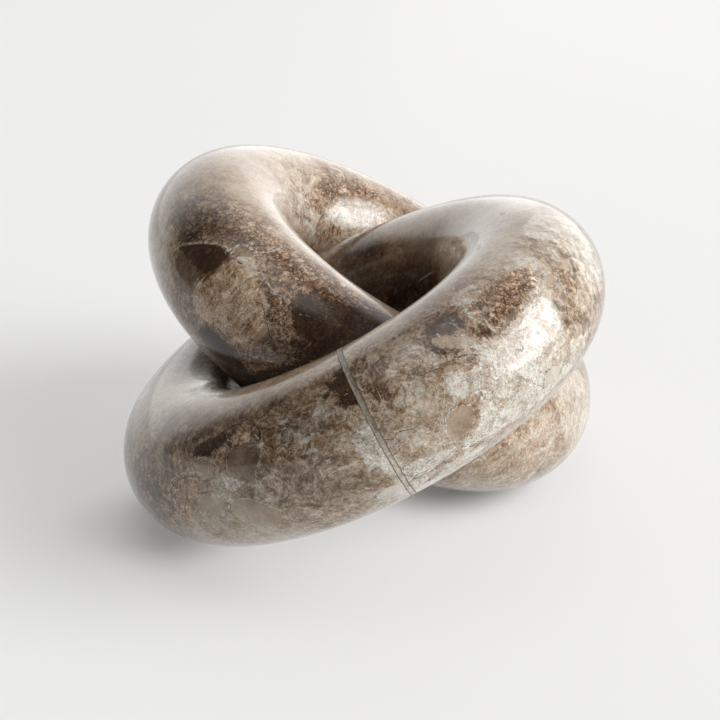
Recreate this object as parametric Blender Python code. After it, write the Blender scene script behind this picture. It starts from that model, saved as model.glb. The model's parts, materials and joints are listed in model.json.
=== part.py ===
# Marble chain sculpture: two round links of polished stone, threaded through each other.
# Metres and degrees, +Z up. The object stands on z = 0 with its middle over the origin.
# The viewer stands on the -Y side, so the front link is at -Y and the back link at +Y.
import math

import bmesh
import bpy
from mathutils import Matrix, Vector

# Driving sizes
eye_radius = 0.0297          # open eye of a link
stone_radius = 0.0203        # half the thickness of the round stone
link_gap = 0.0003            # clear gap where the two links bear on each other
extra_lean = 1.0             # degrees of lean beyond the steepest stance that the stones allow
rest_flat_depth = 0.0003     # how deep the ground rest spot under each link is

saw_angle = -79.3            # degrees round the front link at which it was sawn open
saw_width = 0.0015           # width of the sawn joint between the stone halves
filler_gap = 0.0003          # gap between the filler and each stone face
filler_recess = 0.0004       # how far the filler lies below the polished surface

# Mesh fineness
ring_steps = 72
section_sides = 32
sharp_angle = 35.0

# Colours, roughness and metallic value of each material
stone_colour = (0.30, 0.22, 0.17, 1.0)
stone_roughness = 0.15
filler_colour = (0.34, 0.31, 0.28, 1.0)
filler_roughness = 0.55

# Sizes that follow from the driving sizes
link_radius = eye_radius + stone_radius
centre_spacing = 2 * stone_radius + link_gap
lean = 0.5 * math.asin(centre_spacing / link_radius) + math.radians(extra_lean)
centre_height = link_radius * math.sin(lean) + stone_radius - rest_flat_depth
saw_direction = Vector((math.cos(math.radians(saw_angle)), math.sin(math.radians(saw_angle)), 0))
saw_normal = Vector((-saw_direction.y, saw_direction.x, 0))

# Which side of the middle each link stands on, along Y
front_side = -1
back_side = 1


def clear_scene():
    for thing in list(bpy.data.objects):
        bpy.data.objects.remove(thing, do_unlink=True)


def make_material(name, colour, roughness):
    material = bpy.data.materials.new(name)
    material.use_nodes = True
    shader = material.node_tree.nodes["Principled BSDF"]
    shader.inputs["Base Color"].default_value = colour
    shader.inputs["Roughness"].default_value = roughness
    shader.inputs["Metallic"].default_value = 0.0
    material.diffuse_color = colour
    return material


def link_placement(side):
    # Both links share the line of centres along Y, and lean over it in opposite ways.
    middle = Matrix.Translation((0, side * centre_spacing / 2, centre_height))
    return middle @ Matrix.Rotation(side * lean, 4, "Y")


def round_ring(section_radius, first_angle):
    # One whole ring about the local Z axis. A section corner faces the ground under the link's low end.
    ring = bmesh.new()
    circle = bmesh.ops.create_circle(ring, segments=section_sides, radius=section_radius)
    stand_up = Matrix.Rotation(math.pi / 2, 4, "X")
    face_ground = Matrix.Rotation(math.pi / 2 - lean, 4, "Y")
    outwards = Matrix.Translation((link_radius, 0, 0))
    turn = Matrix.Rotation(first_angle, 4, "Z")
    bmesh.ops.transform(ring, matrix=turn @ outwards @ face_ground @ stand_up, verts=circle["verts"])
    bmesh.ops.spin(
        ring, geom=ring.verts[:] + ring.edges[:], cent=(0, 0, 0), axis=(0, 0, 1),
        angle=2 * math.pi, steps=ring_steps, use_merge=True, use_duplicate=False)
    bmesh.ops.recalc_face_normals(ring, faces=ring.faces)
    return ring


def cut_away(body, point, normal):
    # Removes everything beyond the plane, on the side that the normal points to, and closes the cut.
    geometry = body.verts[:] + body.edges[:] + body.faces[:]
    cut = bmesh.ops.bisect_plane(
        body, geom=geometry, dist=1e-6, plane_co=point, plane_no=normal, clear_outer=True)
    rim = [item for item in cut["geom_cut"] if isinstance(item, bmesh.types.BMEdge)]
    bmesh.ops.edgeloop_fill(body, edges=rim)
    bmesh.ops.recalc_face_normals(body, faces=body.faces)


def grind_rest_flat(body, side):
    to_local = link_placement(side).inverted()
    cut_away(body, to_local @ Vector((0, 0, 0)), to_local.to_3x3() @ Vector((0, 0, -1)))


def add_piece(name, body, side, material):
    mesh = bpy.data.meshes.new(name)
    body.to_mesh(mesh)
    body.free()
    mesh.materials.append(material)
    mesh.shade_smooth()
    mesh.set_sharp_from_angle(angle=math.radians(sharp_angle))
    piece = bpy.data.objects.new(name, mesh)
    piece.matrix_world = link_placement(side)
    bpy.context.scene.collection.objects.link(piece)
    return piece


def first_ring_angle():
    # Puts the saw cut in the middle of a step of the ring, away from its corners.
    return math.radians(saw_angle) + math.pi / ring_steps


def build_front_half(name, half_side, material):
    # half_side is 1 for the half ahead of the saw plane, anticlockwise seen from above, and -1 behind it.
    half = round_ring(stone_radius, first_ring_angle())
    cut_away(half, half_side * saw_normal * saw_width / 2, -half_side * saw_normal)
    if half_side < 0:
        grind_rest_flat(half, front_side)
    return add_piece(name, half, front_side, material)


def build_filler(name, end_side, material):
    # end_side is 1 for the joint on the near arm and -1 for the one opposite, on the far arm.
    filler = round_ring(stone_radius - filler_recess, first_ring_angle())
    half_thickness = saw_width / 2 - filler_gap
    cut_away(filler, Vector((0, 0, 0)), -end_side * saw_direction)
    cut_away(filler, saw_normal * half_thickness, saw_normal)
    cut_away(filler, -saw_normal * half_thickness, -saw_normal)
    return add_piece(name, filler, front_side, material)


def build_back_link(name, material):
    ring = round_ring(stone_radius, 0.0)
    grind_rest_flat(ring, back_side)
    return add_piece(name, ring, back_side, material)


def build_sculpture():
    clear_scene()
    front_stone = make_material("front_stone", stone_colour, stone_roughness)
    back_stone = make_material("back_stone", stone_colour, stone_roughness)
    filler = make_material("joint_filler", filler_colour, filler_roughness)

    # Front link: two sawn halves and the filler in their two joints
    build_front_half("front_link_right_half", 1, front_stone)
    build_front_half("front_link_left_half", -1, front_stone)
    build_filler("near_joint_filler", 1, filler)
    build_filler("far_joint_filler", -1, filler)

    # Back link: one whole ring, whose origin lies on the axis that it turns about
    back_link = build_back_link("back_link", back_stone)

    placement = back_link.matrix_world
    print("lean in degrees", round(math.degrees(lean), 4))
    print("back link centre", [round(value, 6) for value in placement.translation])
    print("back link axis", [round(value, 6) for value in placement.to_3x3() @ Vector((0, 0, 1))])


build_sculpture()
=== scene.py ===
# Looks for the marble chain sculpture: two polished stone links, threaded through each other.
# Metres and degrees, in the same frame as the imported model. The viewer stands on the -Y side.
import bpy
import json
import math
import random
from types import SimpleNamespace
import numpy as np
from mathutils import Matrix, Vector, noise


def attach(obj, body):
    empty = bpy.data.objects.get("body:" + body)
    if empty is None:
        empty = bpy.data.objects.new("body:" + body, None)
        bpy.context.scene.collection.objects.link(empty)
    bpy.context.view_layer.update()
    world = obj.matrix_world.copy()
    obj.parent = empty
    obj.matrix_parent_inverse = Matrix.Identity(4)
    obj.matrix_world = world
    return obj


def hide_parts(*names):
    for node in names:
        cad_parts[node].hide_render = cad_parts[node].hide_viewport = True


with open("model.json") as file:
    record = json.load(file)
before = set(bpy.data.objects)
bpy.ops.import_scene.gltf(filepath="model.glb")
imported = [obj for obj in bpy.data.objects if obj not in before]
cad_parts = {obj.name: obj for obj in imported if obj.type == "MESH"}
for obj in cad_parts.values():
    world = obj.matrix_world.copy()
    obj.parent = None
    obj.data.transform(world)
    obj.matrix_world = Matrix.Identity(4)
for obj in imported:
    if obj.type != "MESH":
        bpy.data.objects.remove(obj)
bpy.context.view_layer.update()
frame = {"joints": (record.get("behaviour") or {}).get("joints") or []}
bpy.ops.object.select_all(action="DESELECT")

# The stance of both links follows from the joint: its axis is the back link's own ring axis
turnJoint = frame["joints"][0]
leanAngle = math.atan2(turnJoint["axis"][0], turnJoint["axis"][2])
halfSpacing = turnJoint["pos_m"][1]
centreHeight = turnJoint["pos_m"][2]
linkRadius = 0.050           # from a link's centre to the middle of its stone
stoneRadius = 0.0202         # half the thickness of the stone, just inside the CAD stone
frontSide = -1
backSide = 1
cutPrecision = 0.000001      # a corner this near a cut counts as on it
toMillimetres = 1000.0


def linkMatrix(side):
    middle = Matrix.Translation((0, side * halfSpacing, centreHeight))
    return middle @ Matrix.Rotation(side * leanAngle, 4, "Y")


def selectOnly(piece):
    bpy.ops.object.select_all(action="DESELECT")
    piece.select_set(True)
    bpy.context.view_layer.objects.active = piece


def openEdit(piece, kind="VERT"):
    selectOnly(piece)
    bpy.ops.object.mode_set(mode="EDIT")
    bpy.ops.mesh.select_mode(type=kind)
    bpy.ops.mesh.select_all(action="DESELECT")


def closeEdit():
    bpy.ops.object.mode_set(mode="OBJECT")


def selectNothingIn(piece, kind="VERT"):
    openEdit(piece, kind)
    closeEdit()


def nameAndPlace(name):
    # Names the primitive just added and puts its place into its mesh
    piece = bpy.context.object
    piece.name = name
    piece.data.name = name
    bpy.ops.object.transform_apply(location=True, rotation=True, scale=True)
    return piece


def smoothPiece(piece, angle=35):
    selectOnly(piece)
    bpy.ops.object.shade_smooth_by_angle(angle=math.radians(angle))


def roughen(piece, depth, wave):
    # A faint unevenness, only ever inwards
    bumps = bpy.data.textures.new(piece.name + "Bumps", "CLOUDS")
    bumps.noise_scale = wave
    bumps.noise_depth = 1
    modifier = piece.modifiers.new("unevenness", "DISPLACE")
    modifier.texture = bumps
    modifier.texture_coords = "LOCAL"
    modifier.strength = depth
    modifier.mid_level = 1.0
    selectOnly(piece)
    bpy.ops.object.modifier_apply(modifier=modifier.name)


def cutAway(piece, point, normal, inner):
    # Cuts the piece on a plane, drops its inner or outer side and closes the cut
    openEdit(piece)
    bpy.ops.mesh.select_all(action="SELECT")
    bpy.ops.mesh.bisect(
        plane_co=point, plane_no=normal, use_fill=True, clear_inner=inner, clear_outer=not inner,
        threshold=cutPrecision)
    closeEdit()


print("stage: links")
frontLink = {"steps": 720, "sides": 240}
backLink = {"steps": 520, "sides": 180}
handPolish = {"depth": 0.00012, "wave": 0.02}
restHeight = 0.00001         # height above the surface at which the rest spots are ground flat


def addLink(name, side, link):
    # A whole ring of hand polished stone in its leaning place
    bpy.ops.mesh.primitive_torus_add(
        align="WORLD", location=(0, side * halfSpacing, centreHeight), rotation=(0, side * leanAngle, 0),
        major_segments=link["steps"], minor_segments=link["sides"], major_radius=linkRadius,
        minor_radius=stoneRadius, generate_uvs=True)
    ring = nameAndPlace(name)
    roughen(ring, handPolish["depth"], handPolish["wave"])
    return ring


def grindRest(ring):
    # The small flat spot that the link rests on
    cutAway(ring, (0, 0, restHeight), (0, 0, 1), True)


sawCut = {
    "angle": -79.3,          # degrees round the front link
    "width": 0.0015,
    "rimReach": 0.00002,     # corners this near the cut belong to its rim
    "chipDepths": (0.00005, 0.0001, 0.00018),
    "chipReach": 0.0007,
    "chipGrain": 420,
    "chipLevels": (0.05, 0.14),    # cloud level above which stone chips, and its rise from depth to depth
}


def sawDirections():
    turned = linkMatrix(frontSide)
    angle = math.radians(sawCut["angle"])
    outwards = turned.to_3x3() @ Vector((math.cos(angle), math.sin(angle), 0))
    across = turned.to_3x3() @ Vector((-math.sin(angle), math.cos(angle), 0))
    return turned.translation, outwards, across


def sawHalf(ring, half):
    # half is 1 for the stone ahead of the saw plane and -1 for the stone behind it
    centre, outwards, across = sawDirections()
    cutAway(ring, centre + half * across * sawCut["width"] / 2, across, half > 0)


def chipRim(ring, half, seed):
    # Small chips along the sawn edge, as a saw leaves them in stone
    centre, outwards, across = sawDirections()
    firstLevel, rise = sawCut["chipLevels"]
    for number, depth in enumerate(sawCut["chipDepths"]):
        selectNothingIn(ring)
        seedShift = Vector((seed + 7 * number, 0, 0))
        for vertex in ring.data.vertices:
            beyond = (vertex.co - centre).dot(across) * half - sawCut["width"] / 2
            if beyond < sawCut["rimReach"]:
                level = noise.noise(vertex.co * sawCut["chipGrain"] + seedShift)
                vertex.select = level > firstLevel + rise * number
        bpy.ops.object.mode_set(mode="EDIT")
        bpy.ops.transform.shrink_fatten(
            value=-depth, use_proportional_edit=True, proportional_edit_falloff="SMOOTH",
            proportional_size=sawCut["chipReach"])
        closeEdit()


jointResin = {
    "recess": 0.00006,       # how far the resin lies below the polish
    "sideGap": 0.00002,
    "roughDepth": 0.0001,
    "roughWave": 0.0016,
    "corners": 240,
    "cuts": 5,               # across its width
    "smoothAngle": 50,
}


def addResin(name, end):
    # The resin that fills a sawn joint. end is 1 on the near arm and -1 on the far arm.
    centre, outwards, across = sawDirections()
    bpy.ops.object.select_all(action="DESELECT")
    bpy.ops.mesh.primitive_cylinder_add(
        vertices=jointResin["corners"], radius=stoneRadius - jointResin["recess"],
        depth=sawCut["width"] - 2 * jointResin["sideGap"],
        location=centre + end * outwards * linkRadius, rotation=across.to_track_quat("Z", "Y").to_euler())
    resin = nameAndPlace(name)
    selectNothingIn(resin, "EDGE")
    for edge in resin.data.edges:
        ends = [resin.data.vertices[index].co for index in edge.vertices]
        edge.select = abs((ends[1] - ends[0]).normalized().dot(across)) > 0.9
    bpy.ops.object.mode_set(mode="EDIT")
    bpy.ops.mesh.subdivide(number_cuts=jointResin["cuts"])
    closeEdit()
    roughen(resin, jointResin["roughDepth"], jointResin["roughWave"])
    smoothPiece(resin, jointResin["smoothAngle"])
    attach(resin, "front_link_body")
    return resin


frontHalves = []
for name, half in (("frontLinkRightStone", 1), ("frontLinkLeftStone", -1)):
    stone = addLink(name, frontSide, frontLink)
    sawHalf(stone, half)
    chipRim(stone, half, 3.0 + half)
    if half < 0:
        grindRest(stone)
    smoothPiece(stone)
    frontHalves.append(stone)

backStone = addLink("backLinkStone", backSide, backLink)
grindRest(backStone)
smoothPiece(backStone)

resins = [addResin("nearJointResin", 1), addResin("farJointResin", -1)]

for stone, node in zip(frontHalves, ("front_link_right_half", "front_link_left_half")):
    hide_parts(node)
    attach(stone, "front_link_body")
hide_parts("near_joint_filler")
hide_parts("far_joint_filler")
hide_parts("back_link")
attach(backStone, "back_link_body")

print("stage: stone figure")
sectionStep = math.radians(1) * stoneRadius * toMillimetres    # mm round the section per degree
outlineFade = 1.6            # mm over which a painted outline fades, each way
lineReach = 2.0              # mm beside a painted line that still knows of it

# The figure of the front link, as outlines of ring angle and section angle in degrees.
# Ring angle -90 is the arm nearest the viewer; section angle 0 looks outwards and 90 upwards.
greyPebble = (
    (-111, 38), (-107, 42), (-104, 38), (-103.2, 32), (-104.5, 22), (-107, 14), (-110, 16), (-112.5, 24),
    (-112, 32))
smallGreyPebble = ((-76, 4), (-74, 5), (-73, 2), (-74, -1.5), (-76, -1))
frontOutlines = {
    "umber": (
        ((-122, 46), (-118, 50), (-113, 52.5), (-110.5, 50), (-113, 44), (-116, 41.5), (-115, 36),
         (-117.5, 38), (-122, 39)),
        ((-79, 68), (-83, 66), (-86, 62), (-85, 54), (-83, 48), (-84.5, 42), (-83.5, 35), (-79, 34)),
        ((-67.5, 68), (-64, 69.5), (-61, 68.5), (-61.5, 65.5), (-64, 65.5), (-67, 66.5)),
        ((-60.3, 57), (-57.5, 58.5), (-54, 57), (-52, 54), (-51, 47), (-51.5, 41), (-53, 43), (-53.5, 50),
         (-55.5, 54), (-57.5, 50), (-58.5, 47)),
        ((-62, 47), (-60, 44), (-58.8, 38), (-58.8, 31), (-60.3, 31), (-61, 38))),
    "brown": (
        ((-102, 66), (-92, 68), (-80, 72), (-80, 30), (-88, 26), (-86, 44), (-92, 52), (-100, 52)),
        ((-98, 14), (-92, 12), (-84, 10), (-84, -14), (-80, -22), (-80, -33), (-90, -26), (-102, -20),
         (-104, -6)),
        ((-80, 60), (-78, 69), (-75.5, 70), (-74.2, 62), (-73.3, 54), (-75, 45), (-76, 40), (-80, 40)),
        ((-76.5, 37), (-74.5, 36), (-72.6, 30), (-72.8, 25), (-74.5, 25), (-76, 31)),
        ((-63, 1), (-61, 0), (-59.5, -9.5), (-60, -19.5), (-62, -24), (-65, -24), (-67, -14), (-66.5, -4.5),
         (-65, -1)),
        ((-60, 60), (-52, 58), (-50, 44), (-52, 38), (-58, 48)),
        ((-148, 34), (-134, 34), (-132, 20), (-132, 0), (-138, -6), (-150, 6))),
    "pale": (
        ((-84, 18), (-80.5, 19), (-79, 14), (-79, -47), (-81, -34), (-81.6, -15), (-82.6, -3), (-84.4, 8)),
        ((-61.5, 24), (-58, 16), (-54.5, 13), (-54, 3), (-57.5, -1.5), (-60.5, 1.5), (-63, 9), (-63.5, 19)),
        ((-114, 20), (-112.5, 22), (-110.5, 18), (-110.5, 12), (-113, 12), (-114.2, 15)),
        ((-110, 47), (-108, 49), (-105.5, 46), (-106, 41), (-109, 40)),
        ((-84, 11), (-81, 14), (-79, 12), (-79, -20), (-82, -14), (-84, -2)),
        ((-87, -34), (-83, -31), (-79, -34), (-79, -56), (-84, -52), (-86.5, -44)),
        ((-60, 49), (-57.5, 46), (-54, 38), (-51, 31), (-50, 26), (-54, 27), (-58, 33), (-59.5, 42)),
        ((-49.7, 52), (-47.5, 53), (-46.5, 44), (-46.6, 34), (-45.5, 27), (-47.5, 27), (-48.8, 36),
         (-49.7, 45)),
        ((-50, 64), (-46, 70), (-41, 66), (-42, 55), (-45, 52), (-48.5, 54)),
        # This pale patch round and under the window's reflection on the near arm is partly the stone's own
        # pale tone and partly a painted highlight
        ((-54, 26), (-45, 24), (-34, 26), (-32, 18), (-33, -4), (-30, -20), (-22, -26), (-30, -42),
         (-50, -44), (-66, -34), (-60, -22), (-58, -4), (-56, 8)),
        ((-80, -22), (-74, -20), (-70, -24), (-67, -30), (-68, -36), (-80, -36)),
        ((-80, -39), (-66, -40), (-60, -50), (-66, -66), (-80, -66)),
        ((-16, 60), (-10, 66), (0, 60), (4, 30), (-2, 0), (-12, -14), (-18, -4), (-16, 18), (-14, 40))),
    "slate": (
        greyPebble,
        ((-101, 42), (-96, 44), (-92, 42), (-88, 46), (-84, 40), (-83, 32), (-88, 27), (-94, 29), (-99, 31)),
        smallGreyPebble,
        ((-55, 55), (-53, 50), (-53.5, 43), (-56, 43), (-57, 50)),
        ((-146, 72), (-138, 70), (-135, 58), (-142, 54), (-148, 62))),
    "rust": (
        ((-49, 54), (-44, 53), (-40, 56), (-37, 50), (-38, 40), (-38, 28), (-47, 27), (-48, 40)),
        ((-37, 50), (-32, 52), (-28, 46), (-29, 36), (-33, 30), (-38, 36)),
        ((-25, 24), (-21, 26), (-19, 16), (-22, 6), (-26, 10)),
        ((-53, 43), (-51, 44), (-49.5, 36), (-50, 29), (-52, 31)),
        ((-85, 66), (-83, 66), (-82.5, 61), (-84.5, 61)),
        ((14, 130), (20, 136), (34, 139), (35, 133), (22, 129))),
    "pebble": (
        greyPebble,
        ((-123, 8), (-121, 12), (-118.5, 11), (-116.8, 6), (-117, -1), (-118.5, -6), (-121.5, -5),
         (-123, 1)),
        ((-115, 2), (-112, 5), (-109.5, 2), (-107, -6), (-105, -13), (-105.5, -20), (-108, -28),
         (-111.5, -24), (-114, -14), (-115.5, -6)),
        ((-121, 35), (-118, 37), (-116, 32), (-116.5, 24), (-119, 23), (-121, 28)),
        ((-66, -2), (-62.5, -1), (-60.5, -6), (-61, -16), (-64, -23), (-67.5, -22), (-67, -12)),
        ((-60, 49), (-57.5, 46), (-54, 38), (-51, 31), (-52, 29), (-56, 32), (-58, 36), (-59.5, 42)),
        ((-56.5, 54), (-53.5, 50), (-53.5, 43), (-56, 43), (-57.5, 49)),
        ((-42, -24), (-39.5, -22), (-37.5, -26), (-37.5, -34), (-40, -36), (-42.5, -32)),
        ((-30, 27), (-27.5, 33), (-25.5, 30), (-25.5, 24), (-27.5, 22)),
        smallGreyPebble,
        ((-93.3, 40), (-91.5, 40), (-91, 34), (-92.5, 31), (-93.6, 34)),
        ((-86, -34), (-83, -32), (-80.5, -35), (-81, -47), (-85, -46))),
    "swirl": (
        ((-148, 33), (-137, 34), (-132, 24), (-124, 30), (-120, 24), (-126, 4), (-129, -10), (-134, -8),
         (-140, -4), (-148, 4)),
        ((-111, 50), (-107, 52), (-104, 47), (-106, 42), (-110, 42))),
}
# Pale smears and small flecks: ring angle, section angle, half length and half width in mm, turn, strength
frontDabs = {
    "smear": (
        (-96.3, 45.5, 2.2, 0.6, 5, 0.8), (-93, 27.5, 2.3, 0.7, 0, 1), (-93, 19.3, 2.6, 0.65, 0, 0.9),
        (-104.3, -3.5, 3.0, 0.6, -12, 1), (-87.5, 36, 2.4, 1.2, 10, 0.5), (-88.5, -0.5, 3.6, 0.35, -3, 0.8),
        (-92.3, -31, 1.0, 0.6, -30, 0.8), (-100.3, -26, 1.2, 0.6, -30, 0.8), (-93.5, -12, 1.0, 0.4, 10, 0.7),
        (-88.5, 13, 1.8, 0.4, 0, 0.6), (-101, 50, 1.6, 0.4, 0, 0.5), (-87, 24, 1.4, 0.4, 0, 0.5),
        (-108, 12, 0.8, 0.5, 0, 0.8), (-97, 10, 1.6, 0.4, 10, 0.6), (-90, 52, 1.8, 0.5, 10, 0.5)),
    "lace": (
        (-107.8, 44, 2.6, 1.8, 0, 1), (-48.3, 42, 1.4, 4.6, 0, 0.9), (-66, 42, 5, 3.2, 0, 0.8),
        (-88, -5, 6, 4, 0, 0.6), (-100, 8, 6, 4, 0, 0.6), (-126, 16, 5, 6, 0, 0.6), (-30, 20, 8, 8, 0, 0.6),
        (-74, -28, 5, 3, 0, 0.5), (-76, 15, 3, 3, 0, 0.7), (-118, -10, 8, 5, 0, 0.5)),
    "rust": (
        (-133.5, 75.5, 0.9, 0.35, -10, 1), (-131.7, 73.8, 0.7, 0.3, 0, 0.9), (-138, 81, 2.5, 0.4, 0, 0.6),
        (-98, 3, 0.6, 0.4, 0, 0.8), (-74.5, -18, 0.6, 0.4, 0, 0.8), (-20, 65, 1.2, 0.6, 0, 0.8),
        (-46.5, 68, 0.5, 0.5, 0, 0.7), (-97, 24, 5, 1.6, -10, 0.6)),
    "umber": (
        (-18.3, 17.5, 0.9, 0.7, 0, 1), (-86, 50, 1.2, 1.0, 0, 0.8), (-110, 68, 0.5, 1.2, 0, 0.8),
        (-74.5, -48, 1.7, 0.6, 0, 0.8), (-31, 12, 0.5, 2.2, 10, 0.9), (-31.5, -1.5, 0.8, 0.6, 0, 0.9),
        (-20, 94, 2.0, 0.8, 25, 1), (5, 84, 2.0, 0.8, 0, 0.8), (-17, 96, 1.2, 0.8, 0, 0.7)),
    "slate": (
        (-43, 60.5, 1.0, 0.8, 0, 1), (-5, 74, 3.0, 1.4, 0, 0.5), (-37, 1, 2.5, 1.6, 0, 0.5)),
}
# Dark cracks and layer lines: half width in mm, then the points that the line runs through
frontCracks = (
    (0.22, (-114, 52.5), (-110, 56), (-106, 55.5), (-103.6, 51), (-102.6, 45), (-103, 40)),
    (0.3, (-143, 22), (-140, 20.5), (-137.8, 22)),
    (0.34, (-145, 15.5), (-141, 16.8), (-137, 14.5), (-134.6, 12)),
    (0.26, (-141.5, 7.5), (-139, 9.2), (-136.2, 7.6)),
    (0.26, (-136, 17), (-134, 13), (-133.1, 5), (-133.8, 0), (-136.5, -3.5)), (0.22, (-141, 31), (-136, 30)),
    (0.2, (-148, 26), (-143, 25.5), (-139, 27)),
    (0.2, (-131.8, -9), (-132, 8), (-131, 18), (-129, 24), (-124.5, 27.5), (-121, 26)),
    (0.2, (-127.2, 20), (-125.8, 13), (-128, 6), (-129, 0)), (0.16, (-124, 20), (-122.6, 14), (-119, 14)),
    (0.14, (-110.8, 72), (-109.2, 73), (-108.3, 66), (-108.2, 60)),
    (0.24, (-58, 27.5), (-56, 25.5), (-54.2, 21.5)), (0.1, (-47.5, 24), (-45.5, 19), (-44.3, 15)),
    (0.28, (-46.9, 5.6), (-46.4, 7.9)), (0.3, (-44.8, 5), (-44.4, 7.8)),
    (0.12, (-45.8, -20.5), (-44.6, -26), (-43.2, -30), (-42.4, -36)),
    (0.12, (-43, -38), (-41, -40), (-39.5, -37.5)), (0.26, (-30.3, -1.5), (-28.9, 4)),
    (0.2, (-26.8, 14), (-26, 19)), (0.12, (-80, -36.5), (-74, -37.2), (-69, -36.4), (-66.5, -32)),
    (0.12, (-65, -33), (-62.5, -40), (-60, -48), (-57.5, -54)), (0.1, (-63, -33), (-60, -42), (-58.5, -50)),
    (0.14, (-79, 6), (-77.5, 2), (-75.5, 6), (-73, 2)), (0.12, (-78.6, -8), (-76.5, -6)),
    (0.16, (-78.9, -25), (-77.6, -33), (-76.8, -41)), (0.12, (-77.8, -31), (-75, -34), (-71.5, -35.5)),
    (0.12, (-69.8, 52), (-67, 49), (-65.5, 50)), (0.14, (-66, 30), (-64, 29.5), (-62, 27.5)),
    (0.12, (-118.6, -9), (-116.5, -4), (-114.6, 1)), (0.1, (-42, 86), (-40, 92)),
)
# Cream veins and pale pebble rims
frontVeins = (
    (0.2, (-132.6, -5), (-132.9, 8), (-132.1, 19), (-130.2, 25.5), (-126, 30), (-121, 29), (-118.6, 25)),
    (0.2, (-129.6, -4), (-130.8, 8), (-130.2, 16), (-128.6, 20), (-127.4, 16)),
    (0.18, (-111, 46), (-109.6, 43.6), (-107.6, 46), (-106, 44.6), (-105, 47.5), (-103.9, 49)),
    (0.18, (-104.4, 46), (-103.1, 40), (-103.1, 32), (-103.9, 26), (-105.6, 20)),
    (0.16, (-121, 38.5), (-118, 38.5), (-115.9, 34), (-114.6, 30), (-115.4, 24), (-115.2, 18), (-113, 12.5)),
    (0.16, (-49.8, 50), (-49, 42), (-48.4, 35), (-47.2, 29), (-45.6, 25)),
    (0.16, (-113, 4.5), (-109.4, 2.6), (-106.8, -6), (-104.8, -13), (-105.6, -21)),
    (0.2, (-45.2, 66), (-44.8, 75), (-43, 79)), (0.14, (-91, -0.5), (-88, 0.4), (-86, -0.8)),
    (0.18, (-78.4, 46), (-77.6, 38), (-77, 30)),
)
# General lightness: the stone's own tone, with painted sheen on the tops of the arms and on the top of the
# far arm, and painted shade on the inner wall of the far arm. Ring angle, section angle, level from 0 for
# near black to 1 for cream
frontToneAndPaintedLight = (
    (-165, 70, 0.66), (-155, 45, 0.44), (-142, 62, 0.38), (-150, 10, 0.38), (-140, 15, 0.34),
    (-125, 62, 0.38), (-125, 10, 0.5), (-120, -20, 0.6), (-115, -42, 0.88), (-105, 62, 0.34), (-105, 5, 0.4),
    (-95, 36, 0.42), (-110, -12, 0.74), (-119.5, 1, 0.82), (-95, 5, 0.54), (-95, -15, 0.68), (-95, -45, 0.5),
    (-84, 50, 0.66), (-84, 10, 0.54), (-82, -50, 0.73), (-75.5, 58, 0.26), (-75, 40, 0.54),
    (-75.5, 18, 0.56), (-75, -8, 0.72), (-81, 0, 0.79), (-72, -30, 0.6), (-66, 45, 0.62), (-66, 15, 0.72),
    (-64, -12, 0.74), (-66, 80, 0.66), (-76, 76, 0.64), (-90, 76, 0.56), (-104, 76, 0.5), (-56, 52, 0.28),
    (-56, 10, 0.52), (-56, -10, 0.64), (-44, 42, 0.38), (-44, 10, 0.54), (-44, -25, 0.6), (-50, -45, 0.76),
    (-40, 62, 0.48), (-44, 50, 0.56), (-30, 40, 0.84), (-20, 40, 0.54), (-30, 5, 0.56), (-25, 80, 0.68),
    (-15, 15, 0.5), (-5, 55, 0.52), (20, 92, 0.66), (60, 112, 0.72), (20, 115, 0.64), (20, 142, 0.78),
    (45, 150, 0.16), (62, 145, 0.14), (85, 140, 0.1), (92, 110, 0.24), (92, 90, 0.42), (-110, 84, 0.55),
    (-150, 88, 0.6),
)
# Smooth places with little figure: ring angle, section angle, 1 for quite smooth
frontPlains = (
    (-165, 75, 1), (-140, 82, 1), (-120, 80, 1), (-100, 82, 1), (-80, 88, 1), (-60, 84, 1), (-40, 82, 1),
    (-20, 80, 1), (0, 68, 0.8), (20, 80, 0.9), (10, 110, 1), (40, 100, 1), (70, 110, 1), (90, 120, 1),
    (20, 140, 1), (45, 145, 1), (70, 150, 1), (-160, 45, 0.7), (-168, 10, 0.7), (-140, 62, 0.4),
    (-140, 15, 0), (-120, 48, 0), (-120, 0, 0), (-100, 50, 0), (-100, 0, 0), (-80, 55, 0), (-80, 0, 0),
    (-60, 50, 0), (-60, 0, 0), (-40, 50, 0), (-40, 0, 0), (-20, 40, 0), (-20, 0, 0), (-5, 30, 0.1),
    (-100, -40, 0.1), (-70, -40, 0), (0, 150, 0.8),
)
backPlains = (
    (-175, 80, 1), (-150, 86, 1), (-125, 94, 1), (-100, 98, 1), (-172, 40, 0.9), (-172, 0, 0.9),
    (-165, -40, 0.8), (-140, 62, 0), (-120, 66, 0), (-150, 30, 0.2), (-135, 20, 0), (-120, 20, 0),
    (-100, 60, 0.1), (-100, 10, 0), (110, 84, 0.8), (140, 80, 0.8), (170, 78, 0.9), (120, 120, 0),
    (150, 130, 0), (-40, 10, 0),
)
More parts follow.
